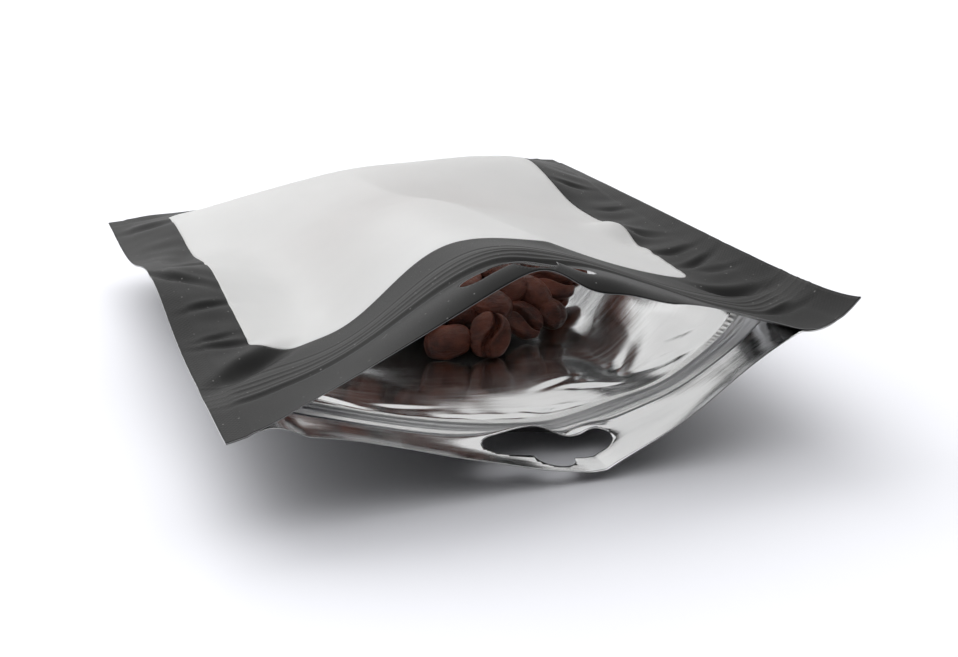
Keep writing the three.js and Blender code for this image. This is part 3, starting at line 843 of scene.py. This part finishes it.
def zip_profile(t):
    """Height of the zip's outer face over its tape: single ribs and a finely ribbed band."""
    knurl = KNURL_HEIGHT * np.sin(2 * math.pi * t / KNURL_PITCH)
    band = smooth(t, KNURL_FROM, KNURL_FROM + 0.4) * (1 - smooth(t, ZIP_FAR - 0.4, ZIP_FAR))
    return ribs(t, ZIP_RIBS) + knurl * band


def room_between(s, t):
    """0 where the films touch, 1 where the zip's full height fits between them."""
    gap = front_height(s, t) + front_relief(s, t) - back_surface(s, t, FILM)
    return np.clip((gap - ZIP_ROOM["start"]) / ZIP_ROOM["run"], ZIP_ROOM["least"], 1)


def zip_strip(name, point, side, film):
    """Closed strip on a film's inner face: the profile above it and the film's own line below;
    side is 1 where that face looks up and -1 where it looks down."""
    s, t = np.meshgrid(spaced(-ZIP_REACH, ZIP_REACH, ZIP_GRID[0] / HALF),
                       spaced(ZIP_NEAR, ZIP_FAR, ZIP_GRID[1]))
    room = room_between(s, t)
    outer = point(s, t, side * (FILM / 2 + ZIP_LIFT * room))
    inner = point(s, t, side * (FILM / 2 + (ZIP_LIFT + ZIP_TAPE + zip_profile(t)) * room))
    rows, columns = s.shape
    layer = rows * columns
    top = cells(rows, columns, ())
    index = np.arange(layer).reshape(rows, columns)
    loop = np.concatenate([index[0, :-1], index[:-1, -1], index[-1, :0:-1], index[:0:-1, 0]])
    after = np.roll(loop, -1)
    walls = np.concatenate([np.stack([loop, after + layer, after], -1),
                            np.stack([loop, loop + layer, after + layer], -1)])
    faces = np.concatenate([top, top[:, ::-1] + layer, walls])
    if side < 0:
        faces = faces[:, ::-1]
    points = np.concatenate([inner.reshape(-1, 3), outer.reshape(-1, 3)])
    uv = np.tile(sheet_uv(s.ravel(), t.ravel()), (2, 1))
    strip = new_piece(name, points, faces, uv)
    coat(strip, clear_zip(film))
    return strip


def ball_faces(rings, around):
    """Triangles of a closed surface made of a pole, rings of points and another pole."""
    index = 1 + np.arange(rings * around).reshape(rings, around)
    beside = np.roll(index, -1, axis=1)
    a, b, c, d = index[:-1], beside[:-1], beside[1:], index[1:]
    quads = np.stack([a, b, c, a, c, d], -1).reshape(-1, 3)
    first = np.stack([np.zeros(around, int), beside[0], index[0]], -1)
    last = np.stack([np.full(around, 1 + rings * around), index[-1], beside[-1]], -1)
    return np.concatenate([first, quads, last])


def bean_surface(steps, sides):
    """One bean of length, width and height 1 along X. Its girth is a power of a sine along it.
    Above, it is a round back; below, a flat face with a swinging groove between raised lips."""
    along = np.linspace(0, math.pi, steps + 1)[1:-1, None]
    turn = np.linspace(0, 2 * math.pi, sides, endpoint=False)[None, :]
    girth = np.sin(along) ** BEAN["girth"]
    across, up = np.cos(turn), np.sin(turn)
    x = -np.cos(along) / 2 + 0 * turn
    y = girth * np.sign(across) * np.abs(across) ** BEAN["sides"] / 2
    round_back = BEAN["back"] * np.maximum(up, 0)
    flat_face = -BEAN["flat"] * np.abs(np.minimum(up, 0)) ** 0.5
    middle = BEAN["swing"] * np.sin(2 * math.pi * x) + 0.02
    q = (y - middle) / BEAN["groove_run"]
    below = smooth(-up, 0.1, 0.5) * girth ** 0.4
    cut = BEAN["groove"] * gauss(q) * (0.75 + 0.25 * np.cos(2 * math.pi * (x - 0.2)))
    lips = BEAN["lip"] * gauss((np.abs(q) - 2.2) / 1.2)
    z = girth * (round_back + flat_face) + below * (cut - lips)
    ring = np.stack([x, y, z], -1).reshape(-1, 3)
    points = np.concatenate([[[-0.5, 0, 0]], ring, [[0.5, 0, 0]]])
    return points, ball_faces(steps - 1, sides)


def facing(sideways, upwards, slant):
    """Turn of a bean whose flat side looks sideways from the mouth and upwards by these degrees;
    slant turns its groove in the flat side's own plane."""
    a, e, r = (math.radians(angle) for angle in (sideways, upwards, slant))
    out = np.array([math.sin(a) * math.cos(e), -math.cos(a) * math.cos(e), math.sin(e)])
    level = np.array([math.cos(a), math.sin(a), 0.0])
    steep = np.cross(out, level)
    length = level * math.cos(r) + steep * math.sin(r)
    return np.stack([length, np.cross(-out, length), -out], -1)


def placed_bean(surface, place, size, turn, seed):
    """A bean surface turned and placed, with a low seeded unevenness in its size, whose waves
    are measured on a bean 10 long."""
    points, faces = surface
    uneven = 1 + ripples(points[:, 0] * 10, (points[:, 1] + points[:, 2]) * 10,
                         BEAN_RIPPLES["height"], seed, BEAN_RIPPLES["waves"],
                         *BEAN_RIPPLES["lengths"])
    shaped = points * uneven[:, None] * np.array(size)
    return shaped @ turn.T + np.array(place), faces


def heap_beans(beans):
    """Beans lying on the heap's dome, spread by the golden angle, each on its back or its flat
    side with a seeded tilt; none where a bean of the front row lies."""
    random = np.random.default_rng(beans.seed)
    taken = np.array([bean[:3] for bean in FRONT_BEANS])
    placed = []
    for i in range(HEAP_BEANS):
        reach = math.sqrt((i + 0.5) / HEAP_BEANS)
        angle = i * GOLDEN_ANGLE
        rise = math.sqrt(1 - reach ** 2)
        right = HEAP["along_x"] * reach * math.cos(angle)
        place = np.array([HEAP["x"] + right, HEAP["y"] + HEAP["along_y"] * reach * math.sin(angle),
                          HEAP["rim"] + (HEAP["above"] + HEAP_LEAN * right) * rise])
        swing, tilt = HEAP_TILTS["sideways"], HEAP_TILTS["upwards"]
        sideways = math.degrees(angle) + 90 + random.uniform(-swing, swing)
        upwards = math.degrees(math.atan2(rise, reach)) + random.uniform(-tilt, tilt)
        if random.random() < HEAP_TILTS["turned_over"]:
            sideways, upwards = sideways + 180, -upwards
        turn = facing(sideways, upwards, random.uniform(0, 360))
        length = beans.length / MM * random.uniform(*HEAP_SIZES["length"])
        width = length * random.uniform(*HEAP_SIZES["width"])
        if np.min(np.linalg.norm(taken - place, axis=1)) > BEAN_SPACE:
            placed.append((place, (length, width, length * HEAP_SIZES["height"]), turn))
    return placed


def heap_core(rings=15, around=32):
    """Lens under the beans, a steep dome above its rim and a shallow bowl below it."""
    along = np.linspace(0, math.pi, rings + 2)[1:-1, None]
    turn = -np.linspace(0, 2 * math.pi, around, endpoint=False)[None, :]
    top, bottom = HEAP["above"] - CORE_SHRINK, HEAP["below"] - 1
    up = np.cos(along) + 0 * turn
    x = HEAP["x"] + (HEAP["along_x"] - CORE_SHRINK) * np.sin(along) * np.cos(turn)
    y = HEAP["y"] + (HEAP["along_y"] - CORE_SHRINK) * np.sin(along) * np.sin(turn)
    lean = HEAP_LEAN * (x - HEAP["x"])
    z = HEAP["rim"] + np.where(up > 0, up * (top + lean), up * bottom)
    ring = np.stack([x, y, z], -1).reshape(-1, 3)
    poles = [[[HEAP["x"], HEAP["y"], HEAP["rim"] + rise]] for rise in (top, -bottom)]
    return np.concatenate([poles[0], ring, poles[1]]), ball_faces(rings, around)


def build_beans(beans):
    """The beans and their core joined into one piece."""
    fine, plain = bean_surface(*FINE_BEAN), bean_surface(*PLAIN_BEAN)
    parts = []
    for i, (x, y, z, length, width, *angles) in enumerate(FRONT_BEANS):
        size = (length, width, length * FRONT_BEAN_HEIGHT)
        parts.append(placed_bean(fine, (x, y, z), size, facing(*angles), 100 + i))
    for i, (place, size, turn) in enumerate(heap_beans(beans)):
        parts.append(placed_bean(plain, place, size, turn, 200 + i))
    parts.append(heap_core())
    starts = np.cumsum([0] + [len(points) for points, _ in parts[:-1]])
    points = np.concatenate([points for points, _ in parts])
    faces = np.concatenate([faces + start for (_, faces), start in zip(parts, starts)])
    slots = np.zeros(len(faces), int)
    # The core takes the painted shade between the beans
    slots[-len(parts[-1][1]):] = 1
    heap = new_piece("bean_heap", points, faces, slots=slots)
    coat(heap, roasted(beans), heap_shade(beans))
    settle(heap, "roasted_bean", "coffee_beans")


def build_sky(stage):
    """Soft light all round: bright above and behind the pouch, dim and cool at the mouth side."""
    nodes = Nodes("Studio", bpy.data.worlds)
    bpy.context.scene.world = nodes.owner
    toward = nodes.add("ShaderNodeTexCoord").outputs["Generated"]
    along = nodes.add("ShaderNodeVectorMath", {0: toward, 1: LIGHT_SIDE},
                      operation="DOT_PRODUCT").outputs["Value"]
    share = nodes.add("ShaderNodeMapRange", {0: along, 1: SKY_TURNS[0], 2: SKY_TURNS[1]},
                      interpolation_type="SMOOTHSTEP").outputs[0]
    light = nodes.tree.nodes["Background"].inputs
    nodes.feed(light[0], nodes.blend(share, colour(stage.dim_side), colour(stage.bright_side)))
    nodes.feed(light[1], stage.sky)


def build_floor(stage):
    """Wide pale floor."""
    lines = spaced(-FLOOR_REACH, FLOOR_REACH, FLOOR_REACH / 8)
    x, y = np.meshgrid(lines, lines)
    points = np.stack([x, y, 0 * x], -1).reshape(-1, 3)
    floor = new_piece("floor", points, cells(len(lines), len(lines), ()), uv=points[:, :2] * MM)
    nodes = Nodes("studio_floor")
    nodes.shader(Base_Color=colour(stage.floor), Roughness=0.6, Specular_IOR_Level=0.2)
    coat(floor, nodes.owner)


def build_key(stage):
    """Large soft lamp behind the pouch on the left, turned to it."""
    lamp = bpy.data.lights.new("key", "AREA")
    lamp.shape = "RECTANGLE"
    lamp.size, lamp.size_y = KEY_SIZE
    lamp.energy = stage.key
    light = linked(bpy.data.objects.new("key", lamp))
    light.location = KEY_PLACE
    toward = -np.array(KEY_PLACE) / np.linalg.norm(KEY_PLACE)
    light.rotation_euler = (math.acos(-toward[2]), 0, math.atan2(-toward[0], toward[1]))


def build_camera():
    """Camera at the photograph's viewing angle."""
    lens = bpy.data.cameras.new("camera")
    lens.lens = CAMERA_LENS
    lens.sensor_width = CAMERA_SENSOR
    lens.clip_start = 0.01
    camera = linked(bpy.data.objects.new("camera", lens))
    camera.location = CAMERA_PLACE
    camera.rotation_euler = (math.radians(90 - CAMERA_DOWN), 0, math.radians(CAMERA_ROUND))
    bpy.context.scene.camera = camera
    bpy.context.scene.view_settings.view_transform = "Standard"


# ---- add-on

class PouchFilm(bpy.types.PropertyGroup):
    thickness: FloatProperty(name="Film thickness", description="Thickness of one laminated film",
                             default=FILM * MM, min=0.0, unit="LENGTH")
    grid: FloatProperty(name="Grid step", description="Distance between the front film's points",
                        default=0.66 * MM, min=0.0, unit="LENGTH")
    charcoal: FloatVectorProperty(name="Charcoal", description="Colour of the matte print",
                                  default=(0.0105, 0.0104, 0.0102), subtype="COLOR")
    window: FloatVectorProperty(name="Window", description="Colour of the frosted window",
                                default=(0.94, 0.94, 0.935), subtype="COLOR")
    window_light: FloatProperty(name="Window light", description="Share of light let through",
                                default=0.6, min=0.0, max=1.0, subtype="FACTOR")
    foil: FloatVectorProperty(name="Foil", description="Colour of the metallised face",
                              default=(0.86, 0.865, 0.875), subtype="COLOR")
    zip: FloatVectorProperty(name="Zip", description="Colour of the zip tape",
                             default=(0.97, 0.972, 0.975), subtype="COLOR")
    edge: FloatVectorProperty(name="Cut edge", description="Colour of the film's cut edge",
                              default=(0.2, 0.2, 0.2), subtype="COLOR")


class PouchBeans(bpy.types.PropertyGroup):
    length: FloatProperty(name="Bean length", description="Usual length of a bean",
                          default=12.2 * MM, min=0.0, unit="LENGTH")
    seed: IntProperty(name="Seed", description="Start of the heap's random turns", default=7)
    dark: FloatVectorProperty(name="Dark", description="Darkest roast", subtype="COLOR",
                              default=(0.034, 0.0075, 0.004))
    brown: FloatVectorProperty(name="Brown", description="Lightest roast", subtype="COLOR",
                               default=(0.13, 0.036, 0.02))


class PouchStage(bpy.types.PropertyGroup):
    floor: FloatVectorProperty(name="Floor", description="Colour of the floor",
                               default=(0.78, 0.785, 0.825), subtype="COLOR")
    bright_side: FloatVectorProperty(name="Bright side", description="Light from above and behind",
                                     default=(1.0, 1.0, 1.0), subtype="COLOR")
    dim_side: FloatVectorProperty(name="Dim side", description="Light from the mouth side",
                                  default=(0.006, 0.006, 0.008), subtype="COLOR")
    sky: FloatProperty(name="Sky", description="Strength of the light all round",
                       default=1.4, min=0.0)
    key: FloatProperty(name="Key light", description="Power of the light behind on the left",
                       default=15.0, min=0.0, unit="POWER")


class PouchSettings(bpy.types.PropertyGroup):
    film: PointerProperty(type=PouchFilm)
    beans: PointerProperty(type=PouchBeans)
    stage: PointerProperty(type=PouchStage)


class POUCH_OT_front(bpy.types.Operator):
    """Add the front film with its frosted window"""
    bl_idname = "pouch.front"
    bl_label = "Front film and window"

    def execute(self, context):
        build_front(context.scene.pouch.film)
        return {"FINISHED"}


class POUCH_OT_back(bpy.types.Operator):
    """Add the back film, bright foil inside and charcoal outside"""
    bl_idname = "pouch.back"
    bl_label = "Back film"

    def execute(self, context):
        build_back(context.scene.pouch.film)
        return {"FINISHED"}


class POUCH_OT_zip(bpy.types.Operator):
    """Add both halves of the zip"""
    bl_idname = "pouch.zip"
    bl_label = "Zip"

    def execute(self, context):
        film = context.scene.pouch.film
        settle(zip_strip("zip_on_front", front_point, -1, film), "zip_plastic", "zip_front")
        settle(zip_strip("zip_on_back", back_point, 1, film), "zip_plastic", "zip_back")
        return {"FINISHED"}


class POUCH_OT_beans(bpy.types.Operator):
    """Add the heap of coffee beans"""
    bl_idname = "pouch.beans"
    bl_label = "Coffee beans"

    def execute(self, context):
        build_beans(context.scene.pouch.beans)
        return {"FINISHED"}


class POUCH_OT_stage(bpy.types.Operator):
    """Add the floor, the lights and the camera"""
    bl_idname = "pouch.stage"
    bl_label = "Studio stage"

    def execute(self, context):
        stage = context.scene.pouch.stage
        build_floor(stage)
        build_sky(stage)
        build_key(stage)
        build_camera()
        return {"FINISHED"}


OPERATORS = (POUCH_OT_front, POUCH_OT_back, POUCH_OT_zip, POUCH_OT_beans, POUCH_OT_stage)


class POUCH_PT_panel(bpy.types.Panel):
    """Pouch pieces and their settings"""
    bl_idname = "POUCH_PT_panel"
    bl_label = "Foil pouch"
    bl_space_type = "VIEW_3D"
    bl_region_type = "UI"
    bl_category = "Pouch"

    def draw(self, context):
        settings = context.scene.pouch
        for group in (settings.film, settings.beans, settings.stage):
            box = self.layout.box()
            for name in group.bl_rna.properties.keys():
                if name not in {"rna_type", "name"}:
                    box.prop(group, name)
        for operator in OPERATORS:
            self.layout.operator(operator.bl_idname)


CLASSES = (PouchFilm, PouchBeans, PouchStage, PouchSettings, *OPERATORS, POUCH_PT_panel)


def register():
    for cls in CLASSES:
        bpy.utils.register_class(cls)
    bpy.types.Scene.pouch = PointerProperty(type=PouchSettings)


def unregister():
    del bpy.types.Scene.pouch
    for cls in reversed(CLASSES):
        bpy.utils.unregister_class(cls)


def main():
    register()
    bpy.ops.pouch.stage()
    bpy.ops.pouch.front()
    bpy.ops.pouch.back()
    bpy.ops.pouch.zip()
    bpy.ops.pouch.beans()


if __name__ == "__main__":
    main()
